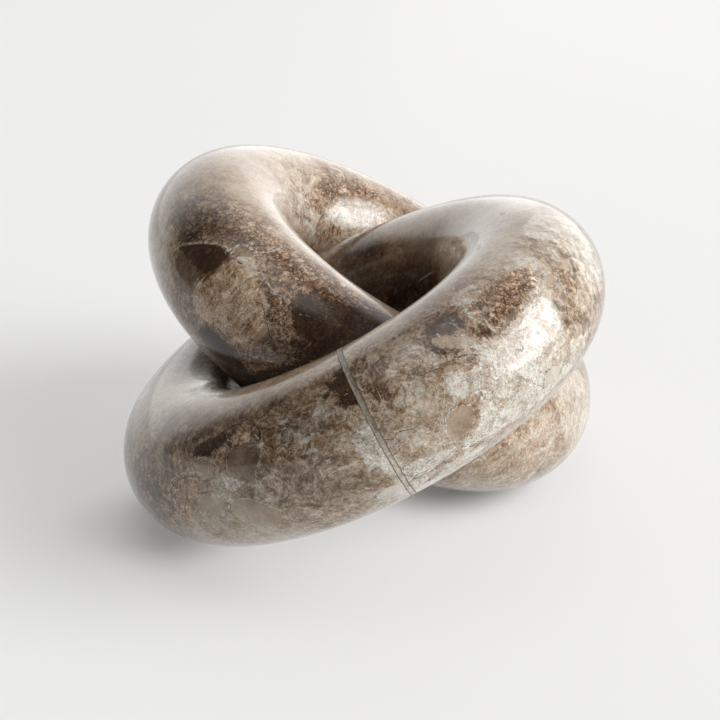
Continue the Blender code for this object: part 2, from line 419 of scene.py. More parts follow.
backOutlines = {
    "umber": (
        ((-146, 9), (-142.5, 19), (-139.5, 27.5), (-136.5, 33.5), (-132.5, 37), (-132.5, 27.5),
         (-132.2, 19.5), (-134, 8), (-137, 9), (-141, 8)),
        ((-115, 40.5), (-113.5, 48), (-115, 58), (-111, 68), (-105, 72), (-99, 80), (-84, 84), (-74, 60),
         (-74, 0), (-86, -40), (-100, -64), (-118, -66), (-114, -40), (-110.5, -18), (-106, -2), (-103, 14),
         (-104, 22), (-109, 24), (-112, 32)),
        ((-149, 32), (-151, 37.5), (-149.5, 46), (-146.5, 49), (-144, 42), (-144, 35.5), (-145, 30)),
        ((-146, 25), (-144.5, 29.5), (-142.5, 24), (-144, 16), (-146.4, 12)),
        ((-140, 50), (-137, 52), (-133.6, 48), (-134.8, 41), (-137, 40), (-140, 44)),
        ((-128, 63), (-124, 68), (-119, 68), (-117, 60), (-118.5, 52), (-122, 56), (-126, 58)),
        ((-128, -18), (-124, -17), (-118, -18), (-113, -27), (-110, -30), (-116, -48), (-124, -44),
         (-130, -34)),
        ((128, 119), (135, 118), (134, 112.5), (128, 113)),
        ((139.6, 144), (142, 146.5), (147, 142), (143, 138.6)),
        ((150, 152.5), (160, 150), (168, 145), (176, 141), (172, 139.5), (162, 146), (152, 150))),
    "brown": (
        ((-152, 56), (-144, 60), (-136, 62), (-126, 70), (-112, 80), (-106, 80), (-112, 44), (-120, 38),
         (-128, 52), (-136, 38), (-148, 30), (-152, 40)),
        ((-158, 34), (-150, 36), (-148, 24), (-151, 8), (-157, 10)),
        ((-124.5, 42), (-122.5, 34), (-119, 31), (-116, 26), (-115.5, 19.5), (-112, 18), (-109, 22),
         (-113, 34), (-118, 44)),
        ((126, 166), (134, 158), (150, 154), (172, 143), (178, 143), (160, 152), (145, 158), (136, 168),
         (130, 172)),
        ((-52, 2), (-46, 6.5), (-43.6, 4), (-45, -3), (-49, -8), (-52, -4)),
        ((-41, 46), (-36, 49), (-34, 46), (-38, 41.5)),
        ((-57, 14), (-51, 27), (-51.6, 12), (-55, -2)),
        ((-38, 4), (-33, 2), (-31, -8), (-35, -12))),
    "pale": (
        ((-134.6, 3), (-132.2, 16), (-132.2, 29), (-131.4, 36), (-128.6, 46), (-124.8, 42), (-122.5, 34),
         (-119, 31), (-116, 26), (-115.5, 19.5), (-112.8, 16), (-113.5, 6), (-116.5, -4), (-118.5, -13),
         (-122.5, -11.5), (-127, -13.5), (-130.5, -20.5), (-132.4, -13), (-134.4, -6)),
        ((-132, 52), (-128, 54), (-125.6, 62), (-126.6, 74), (-130, 66), (-133, 58)),
        ((-144.5, 54), (-139, 66), (-135.5, 58), (-136, 53), (-141, 52)),
        ((-107, 77), (-102, 78), (-101, 72), (-103, 68), (-106, 71)),
        # This pale patch on the inner wall of the far arm lies under the window's reflection: partly the
        # stone's own tone and partly a painted highlight
        ((104, 128), (126, 137), (138, 150), (126, 156), (112, 148))),
    "slate": (
        ((-146, 7), (-144.5, 2), (-143, -4), (-140, -12), (-137, -21), (-133.6, -28), (-131, -28),
         (-131.4, -20), (-133.2, -10), (-135, 2), (-134.5, 6), (-139, 6)),
        ((-117, -2.5), (-114, 13), (-109.5, 15), (-107, 9), (-109, -1), (-113, -9.5), (-117, -9)),
        ((-126, 60), (-121.5, 60), (-118, 54), (-117, 46), (-120, 44), (-124, 46), (-127, 50), (-127.5, 55)),
        ((-138, 60), (-134, 58), (-131, 53), (-135, 51), (-139, 54))),
    "rust": (
        ((-152, 54), (-146, 60), (-138, 70), (-127, 80), (-110, 85), (-96, 84), (-95, 78), (-104, 66),
         (-113.5, 48), (-114, 40), (-119, 38), (-124, 43), (-129, 52), (-134, 50), (-136, 38), (-146, 30),
         (-151, 40)),
        ((-114, 40), (-117, 36), (-116, 26), (-111.5, 18), (-110, 12), (-108.5, 12), (-108, 20), (-111, 30)),
        ((-117.5, -14), (-112, -6), (-108, 2), (-106.4, 0), (-110, -14), (-114, -24), (-117, -22)),
        ((104, 106), (108, 117), (113, 120), (122, 123), (128, 129), (140, 131), (146, 124), (136, 114),
         (122, 108), (112, 107)),
        ((138, 146), (146, 146), (156, 140), (156, 131), (150, 129), (142, 136)),
        ((126, 162), (134, 160), (132, 154), (126, 156))),
    "pebble": (
        ((-146, 7), (-142.5, 19), (-139.5, 27.5), (-136.5, 33.5), (-132.5, 36.5), (-132.2, 19.5),
         (-134, 6.5), (-134, -10), (-138, -14), (-143, -4)),
        ((-133.5, 39.5), (-133.5, 46.5), (-130, 49.5), (-128.8, 46), (-129.2, 40), (-131, 37)),
        ((-115, 14), (-113, 16), (-112, 6), (-113.4, -6), (-115, -2)),
        ((-125, 58), (-121.5, 58), (-119, 52), (-119.5, 44), (-124, 46), (-126, 52)),
        ((-157, -2), (-153, -6), (-155, -12), (-159, -8))),
    "swirl": (
        ((-133, 34), (-122, 36), (-114, 14), (-112, -2), (-116, -14), (-130, -20), (-134, 4)),
        ((-144, 10), (-136, 35), (-133.4, 34), (-134, 6))),
}
backDabs = {
    "smear": (
        (-126, 70, 1.0, 0.4, 40, 0.6), (-118, 70, 1.0, 0.4, 60, 0.7), (-110, 36, 0.8, 0.3, 0, 0.8),
        (-108, 44, 0.6, 0.4, 0, 0.6), (-124, 73, 1.6, 0.6, 60, 0.9), (-120, 71, 1.2, 0.6, 70, 0.8),
        (-116.5, 69, 1.2, 0.5, 50, 0.9), (-113, 75, 1.3, 0.5, 50, 0.8), (-109, 70, 1.0, 0.5, 40, 0.7),
        (-105, 76, 1.2, 0.5, 40, 0.8), (-101, 80, 1.0, 0.5, 30, 0.8), (-121, 63, 1.0, 0.5, 60, 0.7),
        (-132, 55, 1.6, 0.6, 60, 0.6), (-127.5, 64, 1.4, 0.5, 60, 0.6), (-113, -30, 2.5, 0.5, 60, 0.6),
        (-109, -24, 2.0, 0.4, 60, 0.5)),
    "lace": (
        (-117, 36, 3.0, 3.0, 0, 1), (-110, -8, 4, 2.0, 40, 1), (-131, 43, 4, 4, 0, 0.8),
        (-112, 70, 10, 5, 0, 0.8), (-125, 24, 6, 5, 0, 0.5), (-113, 28, 3, 3, 0, 0.8)),
    "rust": (
        (-105, 40, 0.6, 0.4, 0, 0.9), (-108, 38, 0.7, 0.4, 0, 0.9), (-101, 45, 0.5, 0.5, 0, 0.8),
        (-142, 27, 3, 0.7, 45, 0.8), (-105, 52, 0.5, 0.5, 0, 0.8), (-97, 30, 0.6, 0.4, 0, 0.8)),
    "umber": (
        (-147.2, 18.5, 0.5, 0.9, -60, 1), (-130.3, 64, 0.9, 0.5, 50, 1), (-129.2, 54.5, 0.4, 0.9, 0, 0.9),
        (-134, 62, 0.9, 0.4, -40, 0.8), (-124.5, 32, 0.6, 0.4, 0, 0.8), (-129, 36, 0.8, 0.6, 0, 0.9)),
    "slate": (
        (-152, -8, 1.6, 0.6, 60, 0.7),),
}
backCracks = (
    (0.13, (-121.6, 38), (-120.8, 30), (-119.6, 22), (-117.6, 24), (-115.2, 16.5)),
    (0.1, (-121, 29), (-118.4, 25), (-116.8, 21)), (0.2, (-133.6, 38), (-133.4, 20), (-134.6, 2)),
    (0.08, (-125.4, 24), (-124, 20), (-122.4, 21), (-121, 17)), (0.08, (-127, 6), (-124, 4), (-120, 5)),
    (0.08, (-131, 6), (-129, 2.5), (-128.4, -3)), (0.16, (-114.8, 17), (-112, 8), (-109, 12), (-106, 8)),
    (0.16, (-136, 57), (-132, 55), (-130, 50.8)), (0.2, (-146, 29), (-142, 26), (-139, 25)),
    (0.14, (130, 128), (134, 131), (140, 130)), (0.2, (118, 131), (122, 132), (127, 135)),
)
backVeins = (
    (0.26, (-146.4, 4), (-145.4, 12), (-143, 19.5), (-140, 28), (-137, 34.5), (-134.6, 37.5)),
    (0.36, (-133.4, 38), (-134, 45), (-132.4, 49.4), (-129.6, 50.6), (-128.6, 46), (-129.2, 41),
     (-131, 37.5)), (0.2, (-129.6, 50.6), (-128, 55), (-127.2, 62)),
    (0.22, (-128.6, 46), (-126.6, 42), (-125.6, 37)),
    (0.3, (-134.8, 3), (-134.2, -6), (-132.4, -14), (-130.4, -20)),
    (0.26, (-130, -18), (-124, -12), (-118.6, -13)),
    (0.24, (-124.5, 42.5), (-119, 37.5), (-115, 38), (-113.6, 28), (-111.4, 20), (-110, 14)),
    (0.2, (-120, 39), (-118.4, 35), (-116, 38), (-115, 33)),
    (0.2, (-135, 4), (-128, 5.4), (-120, 4), (-117, 1)),
    (0.18, (-115.4, -15), (-111.6, -10), (-108, -4), (-105, 2)),
    (0.2, (-133, -8), (-131.6, -3), (-133.6, 2)),
)
# General lightness of the back link: its own tone, with painted sheen along its top and inner rim, a painted
# highlight on the inner wall of the far arm under the window's reflection, and painted shade where it runs
# close behind the front link. Ring angle, section angle, level
backToneAndPaintedLight = (
    (-175, 80, 0.6), (-168, 40, 0.48), (-160, 5, 0.54), (-154, 22, 0.36), (-148, 40, 0.12), (-142, 44, 0.32),
    (-140, 58, 0.46), (-150, 72, 0.66), (-125, 94, 0.78), (-100, 100, 0.97), (-84, 98, 0.8), (-135, 72, 0.5),
    (-126, 70, 0.6), (-116, 78, 0.4), (-122, 58, 0.68), (-116, 66, 0.34), (-135, 47, 0.3), (-127, 50, 0.46),
    (-118, 42, 0.38), (-125, 24, 0.56), (-125, 4, 0.6), (-130, 12, 0.6), (-129, -14, 0.84), (-119, 16, 0.5),
    (-118, -6, 0.56), (-111, 8, 0.5), (-108, 40, 0.32), (-104, 56, 0.08), (-96, 20, 0.02), (-96, 66, 0.02),
    (-104, -10, 0.08), (-112, -16, 0.3), (-120, -36, 0.06), (-146, -24, 0.5), (-152, -10, 0.86),
    (-138, 22, 0.08), (-142, 4, 0.5), (-138, -8, 0.26), (-134, -26, 0.22), (122, 118, 0.36),
    (116, 146, 0.72), (140, 165, 0.58), (162, 150, 0.64), (150, 95, 0.64), (112, 96, 0.58), (101, 122, 0.54),
    (-40, 10, 0.7), (-50, -6, 0.66), (-20, 50, 0.78), (-30, -20, 0.56),
)
# Ring and section angles that the viewer sees, which the random dabs stay clear of
frontSeen = ((-165, 5, -65, 100), (0, 105, 60, 180))
backSeen = ((-180, -82, -62, 112), (-65, 10, -55, 75), (85, 180, 56, 180))
# Hidden dabs: how many, their size in mm, the strength of the weakest
hiddenDabs = {
    "umber": (16, 5.0, 0.42), "brown": (40, 9.0, 0.7), "pale": (48, 8.0, 0.7), "slate": (24, 5.0, 0.6),
    "rust": (26, 7.0, 0.55), "pebble": (40, 3.4, 0.6), "swirl": (20, 6.0, 0.75), "smear": (26, 2.2, 0.6),
    "lace": (16, 4.0, 0.75),
}
# Width of a hidden dab against its length, and how far it is turned at most
smearShape = ((0.2, 0.35), 15)
blotShape = ((0.45, 0.95), 60)
# How a hidden dab's length varies, and how much stronger than the weakest it can be
hiddenLengths = (0.4, 1.4)
hiddenStrengths = 0.25
# Short pale streaks along the near arm. The ranges are those of half length in mm, ring angle, section angle,
# half width in mm, turn and strength, in the order in which they are drawn.
nearStreaks = {
    "count": 90, "seed": 31,
    "ranges": ((0.6, 1.68), (-108, -81), (-42, 50), (0.28, 0.45), (-26, 0), (0.45, 0.95)),
}
tones = (
    ("stoneTones", ("umber", "brown", "pale", "slate")), ("stoneForms", ("rust", "pebble", "swirl", "smear")))
lightSpread = 60.0           # square mm over which a point of lightness or smoothness carries
hiddenWeight = 0.02          # weight of the hidden level, against 1 for a point at its own place
hiddenLight = 0.45
hiddenPlain = 0.15


def ringPlace(stone, side):
    # Ring angle and section angle of every vertex, in degrees
    co = np.empty(len(stone.data.vertices) * 3)
    stone.data.vertices.foreach_get("co", co)
    back = np.array(linkMatrix(side).inverted())
    local = co.reshape(-1, 3) @ back[:3, :3].T + back[:3, 3]
    ring = np.degrees(np.arctan2(local[:, 1], local[:, 0]))
    section = np.degrees(np.arctan2(local[:, 2], np.hypot(local[:, 0], local[:, 1]) - linkRadius))
    return ring, section


def offsets(ring, section, at, up):
    # Distances in mm from a place on the link, along the ring and round the section
    reach = (linkRadius + stoneRadius * math.cos(math.radians(up))) * math.radians(1) * toMillimetres
    along = ((ring - at + 180) % 360 - 180) * reach
    around = ((section - up + 180) % 360 - 180) * sectionStep
    return along, around


def flatPoints(points, at, up):
    return [offsets(np.array(ring), np.array(section), at, up) for ring, section in points]


def outlineField(ring, section, outline):
    # 1 inside an outline, 0 outside and 0.5 on it
    at = sum(point[0] for point in outline) / len(outline)
    up = sum(point[1] for point in outline) / len(outline)
    corners = flatPoints(outline, at, up)
    along, around = offsets(ring, section, at, up)
    reach = max(max(abs(x), abs(y)) for x, y in corners) + outlineFade
    near = np.nonzero((abs(along) < reach) & (abs(around) < reach))[0]
    x, y = along[near], around[near]
    inside = np.zeros(len(near), bool)
    distance = np.full(len(near), np.inf)
    for (x0, y0), (x1, y1) in zip(corners, corners[1:] + corners[:1]):
        run = ((x - x0) * (x1 - x0) + (y - y0) * (y1 - y0)) / ((x1 - x0) ** 2 + (y1 - y0) ** 2)
        run = np.clip(run, 0, 1)
        distance = np.minimum(distance, np.hypot(x - x0 - run * (x1 - x0), y - y0 - run * (y1 - y0)))
        if y1 != y0:
            inside ^= ((y0 > y) != (y1 > y)) & (x < (x1 - x0) * (y - y0) / (y1 - y0) + x0)
    field = np.zeros(len(ring))
    field[near] = np.clip(0.5 + np.where(inside, distance, -distance) / (2 * outlineFade), 0, 1)
    return field


def dabField(ring, section, dab):
    at, up, length, width, turn, strength = dab
    along, around = offsets(ring, section, at, up)
    c, s = math.cos(math.radians(turn)), math.sin(math.radians(turn))
    distance = np.hypot((along * c + around * s) / length, (around * c - along * s) / width)
    return np.clip(1.5 - distance, 0, 1) * strength


def lineFields(ring, section, lines):
    # The signed distance from the nearest painted line, and how wide the line is there, both from 0 to 1
    nearest = np.full(len(ring), lineReach)
    offset = np.full(len(ring), lineReach)
    width = np.zeros(len(ring))
    for halfWidth, *points in lines:
        at, up = points[len(points) // 2]
        x, y = offsets(ring, section, at, up)
        corners = flatPoints(points, at, up)
        for (x0, y0), (x1, y1) in zip(corners, corners[1:]):
            length = math.hypot(x1 - x0, y1 - y0)
            run = ((x - x0) * (x1 - x0) + (y - y0) * (y1 - y0)) / length
            beyond = np.maximum(np.maximum(-run, run - length), 0)
            across = ((x - x0) * (y1 - y0) - (y - y0) * (x1 - x0)) / length
            distance = np.hypot(beyond, across)
            closer = distance < nearest
            nearest[closer] = distance[closer]
            offset[closer] = (np.sign(across) * distance)[closer]
            width[closer] = halfWidth
    return np.clip(0.5 + offset / (2 * lineReach), 0, 1), width


def blendPoints(ring, section, points, hidden):
    # Blends the levels of the points given; hidden is the level far from all of them
    total = np.full(len(ring), hiddenWeight)
    level = total * hidden
    for at, up, value in points:
        along, around = offsets(ring, section, at, up)
        weight = np.exp(-(along ** 2 + around ** 2) / lightSpread)
        total = total + weight
        level = level + weight * value
    return level / total


def randomDabs(kind, seen, seed):
    # Random dabs for the sides that the photo doesn't show
    count, size, weakest = hiddenDabs[kind]
    slimness, most = smearShape if kind == "smear" else blotShape
    draw = random.Random(seed)
    dabs = []
    while len(dabs) < count:
        at = draw.uniform(-180, 180)
        up = draw.uniform(-180, 180)
        length = size * draw.uniform(*hiddenLengths)
        width = length * draw.uniform(*slimness)
        turn = draw.uniform(-most, most)
        strength = draw.uniform(weakest, weakest + hiddenStrengths)
        if not any(low < at < high and under < up < over for low, high, under, over in seen):
            dabs.append((at, up, length, width, turn, strength))
    return dabs


def streakDabs():
    draw = random.Random(nearStreaks["seed"])
    dabs = []
    for number in range(nearStreaks["count"]):
        length, at, up, width, turn, strength = [draw.uniform(*bounds) for bounds in nearStreaks["ranges"]]
        dabs.append((at, up, length, width, turn, strength))
    return tuple(dabs)


def paintLayer(stone, name, columns):
    layer = stone.data.color_attributes.new(name=name, type="FLOAT_COLOR", domain="POINT")
    layer.data.foreach_set("color", np.stack(columns, axis=1).ravel())


def paintFigure(stone, figure):
    # Colour attributes hold where each kind of figure lies; the material breaks up its edges
    ring, section = ringPlace(stone, figure["side"])
    fields = {}
    for kind in hiddenDabs:
        field = np.zeros(len(ring))
        for outline in figure["outlines"].get(kind, ()):
            field = np.maximum(field, outlineField(ring, section, outline))
        hidden = randomDabs(kind, figure["seen"], figure["seed"] + len(fields))
        for dab in figure["dabs"].get(kind, ()) + tuple(hidden):
            field = np.maximum(field, dabField(ring, section, dab))
        fields[kind] = field
    for name, kinds in tones:
        paintLayer(stone, name, [fields[kind] for kind in kinds])
    lines = lineFields(ring, section, figure["cracks"]) + lineFields(ring, section, figure["veins"])
    paintLayer(stone, "stoneLines", lines)
    # The lightness points carry the stone's own tone together with painted sheen, highlights and shade
    light = blendPoints(ring, section, figure["lights"], hiddenLight)
    plain = blendPoints(ring, section, figure["plains"], hiddenPlain)
    paintLayer(stone, "stoneToneAndPaintedLight", [light, fields["lace"], plain, np.ones(len(ring))])


frontDabs["smear"] += streakDabs()
frontFigure = {
    "side": frontSide, "outlines": frontOutlines, "dabs": frontDabs, "cracks": frontCracks,
    "veins": frontVeins, "lights": frontToneAndPaintedLight, "plains": frontPlains, "seen": frontSeen, "seed": 11,
}
backFigure = {
    "side": backSide, "outlines": backOutlines, "dabs": backDabs, "cracks": backCracks,
    "veins": backVeins, "lights": backToneAndPaintedLight, "plains": backPlains, "seen": backSeen, "seed": 23,
}
for stone in frontHalves:
    paintFigure(stone, frontFigure)
paintFigure(backStone, backFigure)


# Shader nodes: each helper adds its node to the tree that its inputs belong to
def wire(socket, value):
    if isinstance(value, bpy.types.NodeSocket):
        socket.id_data.links.new(value, socket)
    else:
        socket.default_value = value


def addNode(kind, inputs, **settings):
    # Adds a node to the tree that its inputs belong to
    tree = next(value.id_data for value in inputs.values() if isinstance(value, bpy.types.NodeSocket))
    step = tree.nodes.new("ShaderNode" + kind)
    for name, value in settings.items():
        setattr(step, name, value)
    for name, value in inputs.items():
        wire(step.inputs[name], value)
    return step


def calc(kind, a, b=0.0, c=0.0):
    return addNode("Math", {0: a, 1: b, 2: c}, operation=kind).outputs[0]


def plus(a, b):
    return calc("ADD", a, b)


def minus(a, b):
    return calc("SUBTRACT", a, b)


def times(*factors):
    product = factors[0]
    for factor in factors[1:]:
        product = calc("MULTIPLY", product, factor)
    return product


def scaleAdd(value, factor, base):
    return calc("MULTIPLY_ADD", value, factor, base)


def swing(value, amount):
    # Takes a cloud value of about 0.5 to a swing of this amount about 0
    return scaleAdd(value, amount, -0.5 * amount)


def less(value, share):
    # 1 where the value is 0, less by this share where it is 1
    return scaleAdd(value, -share, 1.0)


def shift(kind, a, b):
    second = "Scale" if kind == "SCALE" else 1
    result = "Value" if kind in ("DOT_PRODUCT", "DISTANCE") else "Vector"
    return addNode("VectorMath", {0: a, second: b}, operation=kind).outputs[result]


def nudge(place, push, amount):
    return shift("ADD", place, shift("SCALE", push, amount))


def fade(value, low, high, top=1.0):
    # 0 at low, top at high, with a soft change between
    start, end = (0.0, top) if low < high else (top, 0.0)
    bounds = {"From Min": min(low, high), "From Max": max(low, high), "To Min": start, "To Max": end}
    return addNode("MapRange", {"Value": value, **bounds}, interpolation_type="SMOOTHSTEP").outputs[0]


def band(value, middle, reach):
    # 1 at the middle value, 0 beyond this reach on either side
    return fade(calc("ABSOLUTE", minus(value, middle)), reach, 0.0)


def cloudNode(place, scale, detail, rough, curl=0.0):
    return addNode("TexNoise", {
        "Vector": place, "Scale": scale, "Detail": detail, "Roughness": rough, "Distortion": curl})


def clouds(place, scale, detail, rough, curl=0.0):
    return cloudNode(place, scale, detail, rough, curl).outputs[0]


def drift(place, scale, rough):
    # A direction that wanders like a cloud
    return shift("SUBTRACT", cloudNode(place, scale, 2, rough).outputs[1], (0.5, 0.5, 0.5))


def cells(place, scale, feature="F1"):
    return addNode("TexVoronoi", {"Vector": place, "Scale": scale}, feature=feature).outputs


def tint(share, under, over):
    return addNode("Mix", {0: share, 6: under, 7: over}, data_type="RGBA").outputs[2]


def ladder(value, stops):
    step = addNode("ValToRGB", {0: value})
    bar = step.color_ramp
    while len(bar.elements) < len(stops):
        bar.elements.new(0.5)
    for element, (at, colour) in zip(bar.elements, stops):
        element.position = at
        element.color = colour
    return step.outputs[0]


def channels(colour):
    return addNode("SeparateColor", {0: colour}).outputs


def axisPart(place, axis):
    return addNode("SeparateXYZ", {0: place}).outputs[axis]


print("stage: studio")
studio = {
    "floorColour": (0.775, 0.77, 0.76, 1.0),
    # What the viewer sees mixed into the paper, so that its shadow is light
    "floorGlow": (0.905, 0.90, 0.89, 1.0),
    "floorGlowLevel": (0.97, 0.1, 0.8),       # near by, its rise towards the back, and how far back that is
    "floorGlowShare": (0.39, 0.68),           # on the left and on the right; the larger share on the right paints the object's shadow lighter there
    "floorGlowTurn": (-0.10, 0.03),           # X where the share begins to change and where it ends
    "floorSize": 9.0,
    "floorMiddle": 1.5,                       # how far behind the object the middle of the floor lies
    # Painted contact shade where the links stand: the glow thins out there, within this reach and to this
    # share
    "contactShadeSpots": (((0.023, 0.005, 0.0), 0.034, 0.15), ((-0.052, -0.036, 0.0), 0.032, 0.45)),
    "windowDistance": 3.6,
    "windowAim": (0.0, 0.0, 0.04),
    "windowColour": (0.965, 0.985, 1.0),
    # Bearing from the viewer's side towards the right, height above the floor, width, height, brightness
    "windowPanes": ((80.0, 28.0, 3.9, 4.1, 1.6), (82.0, 25.0, 3.0, 3.3, 2.1), (85.0, 23.0, 2.3, 2.6, 4.2)),
    "roomColour": (1.0, 0.99, 0.975, 1.0),
    "roomLevel": 0.09,
    # Pale parts of the room: the way they lie, how near to that way they begin and are full, brightness
    "roomPatches": (((0.0, 1.0, 0.0), 0.3, 0.66, 1.2), ((-0.10, -0.02, 0.995), 0.88, 0.98, 1.4),
                    ((0.13, 0.99, 0.05), 0.92, 0.985, 0.55)),
}
# Fitted to both links' outlines in the photo
viewCamera = {
    "eye": (0.03845, -0.50991, 0.23793), "aim": (-0.00923, 0.09259, 0.0), "roll": 1.163, "lens": 97.7,
    "sensor": 36.0, "nearest": 0.01, "farthest": 50.0,
}


def newMaterial(name):
    material = bpy.data.materials.new(name)
    material.use_nodes = True
    tree = material.node_tree
    return material, tree, tree.nodes["Principled BSDF"].inputs


def objectPlace(tree):
    return tree.nodes.new("ShaderNodeTexCoord").outputs["Object"]


def addFloor():
    bpy.ops.mesh.primitive_plane_add(size=studio["floorSize"], location=(0, studio["floorMiddle"], 0))
    floor = nameAndPlace("paperFloor")
    material, tree, paper = newMaterial("palePaper")
    paper["Base Color"].default_value = studio["floorColour"]
    paper["Roughness"].default_value = 0.9
    paper["Specular IOR Level"].default_value = 0.2
    place = objectPlace(tree)
    leftShare, rightShare = studio["floorGlowShare"]
    turnLeft, turnRight = studio["floorGlowTurn"]
    # More glow on the right: painted light that lifts the shadow there
    share = plus(fade(axisPart(place, "X"), turnLeft, turnRight, rightShare - leftShare), leftShare)
    # Painted contact shade: the glow thins out round where the links stand, so the paper is darker there
    for spot, reach, least in studio["contactShadeSpots"]:
        away = fade(shift("DISTANCE", place, spot), 0.3 * reach, reach, 1.0 - least)
        share = times(share, plus(away, least))
    seen = tree.nodes.new("ShaderNodeLightPath").outputs
    share = times(share, plus(seen["Is Camera Ray"], seen["Is Glossy Ray"]))
    glow = tree.nodes.new("ShaderNodeEmission")
    glow.inputs["Color"].default_value = studio["floorGlow"]
    level, rise, back = studio["floorGlowLevel"]
    wire(glow.inputs["Strength"], plus(fade(axisPart(place, "Y"), 0.0, back, rise), level))
    mixed = tree.nodes.new("ShaderNodeMixShader")
    wire(mixed.inputs[0], share)
    wire(mixed.inputs[1], tree.nodes["Principled BSDF"].outputs[0])
    wire(mixed.inputs[2], glow.outputs[0])
    wire(tree.nodes["Material Output"].inputs[0], mixed.outputs[0])
    floor.data.materials.append(material)


def addWindow():
    for number, (bearing, height, width, tall, level) in enumerate(studio["windowPanes"]):
        turn = Matrix.Rotation(math.radians(bearing), 3, "Z") @ Matrix.Rotation(math.radians(-height), 3, "X")
        towards = turn @ Vector((0, -1, 0))
        light = bpy.data.lights.new("windowPane%d" % number, "AREA")
        light.shape = "RECTANGLE"
        light.size = width
        light.size_y = tall
        light.energy = level * math.pi * width * tall
        light.color = studio["windowColour"]
        lamp = bpy.data.objects.new("windowPane%d" % number, light)
        bpy.context.scene.collection.objects.link(lamp)
        lamp.location = Vector(studio["windowAim"]) + towards * studio["windowDistance"]
        lamp.rotation_euler = towards.to_track_quat("Z", "Y").to_euler()


def addRoom():
    world = bpy.data.worlds.new("paleRoom")
    bpy.context.scene.world = world
    world.use_nodes = True
    tree = world.node_tree
    back = tree.nodes["Background"].inputs
    way = tree.nodes.new("ShaderNodeTexCoord").outputs["Generated"]
    level = studio["roomLevel"]
    for towards, low, high, top in studio["roomPatches"]:
        level = plus(fade(shift("DOT_PRODUCT", way, towards), low, high, top), level)
    wire(back["Strength"], level)
    back["Color"].default_value = studio["roomColour"]


def addCamera():
    eye = Vector(viewCamera["eye"])
    data = bpy.data.cameras.new("viewCamera")
    data.lens = viewCamera["lens"]
    data.sensor_width = viewCamera["sensor"]
    data.clip_start = viewCamera["nearest"]
    data.clip_end = viewCamera["farthest"]
    camera = bpy.data.objects.new("viewCamera", data)
    bpy.context.scene.collection.objects.link(camera)
    facing = (Vector(viewCamera["aim"]) - eye).to_track_quat("-Z", "Y").to_matrix().to_4x4()
    roll = Matrix.Rotation(math.radians(viewCamera["roll"]), 4, "Z")
    camera.matrix_world = Matrix.Translation(eye) @ facing @ roll
    bpy.context.scene.camera = camera


addFloor()
addWindow()
addRoom()
addCamera()

print("stage: materials")
marble = {
    # Position from 0 to 1, then the colour of the stone at that lightness
    "ladder": (
        (0.0, (0.034, 0.015, 0.007, 1)), (0.18, (0.104, 0.053, 0.026, 1)), (0.34, (0.218, 0.139, 0.083, 1)),
        (0.50, (0.335, 0.253, 0.180, 1)), (0.66, (0.44, 0.39, 0.33, 1)), (0.90, (0.60, 0.575, 0.53, 1))),
    "greys": (
        (0.0, (0.045, 0.038, 0.034, 1)), (0.34, (0.165, 0.150, 0.138, 1)), (0.50, (0.265, 0.245, 0.225, 1)),
        (0.66, (0.42, 0.395, 0.365, 1)), (0.90, (0.64, 0.62, 0.58, 1))),
    "darks": (
        (0.48, (0.020, 0.008, 0.004, 1)), (0.60, (0.050, 0.023, 0.010, 1)), (0.70, (0.120, 0.062, 0.030, 1)),
        (0.80, (0.24, 0.17, 0.12, 1))),
    "granules": (
        (0.1, (0.088, 0.037, 0.016, 1)), (0.4, (0.235, 0.115, 0.056, 1)), (0.65, (0.46, 0.30, 0.185, 1)),
        (0.9, (0.67, 0.54, 0.42, 1))),
    "gap": (0.048, 0.025, 0.014, 1), "umber": (0.034, 0.015, 0.007, 1), "cream": (0.66, 0.58, 0.48, 1),
    "pink": (0.44, 0.32, 0.24, 1), "fleck": (0.13, 0.085, 0.055, 1), "rust": (0.36, 0.15, 0.07, 1),
    "smear": (0.52, 0.485, 0.44, 1), "crack": (0.045, 0.03, 0.022, 1), "swirlTintAndBounce": (1.13, 0.965, 0.83),
    "roughness": 0.28, "specular": 0.12, "coat": 0.85, "coatRoughness": 0.085,
    "bumpStrength": 0.12, "bumpDepth": 0.0001,
}
# Each link's own place in the clouds, the way its fibres run, and a tint over the whole
marbleKinds = {
    "frontMarble": {"offset": (13.0, 40.0, 7.0), "fibreRun": (0.88, 0.0, 0.475), "tint": (1.0, 0.995, 0.965)},
    "backMarble": {"offset": (61.0, 5.0, 33.0), "fibreRun": (0.545, 0.11, 0.83), "tint": (1.03, 0.995, 0.94)},
}


def lay(ground, colour, *shares):
    # Lays one of the marble's colours over the ground, by the product of the shares
    return tint(times(*shares), ground, marble[colour])


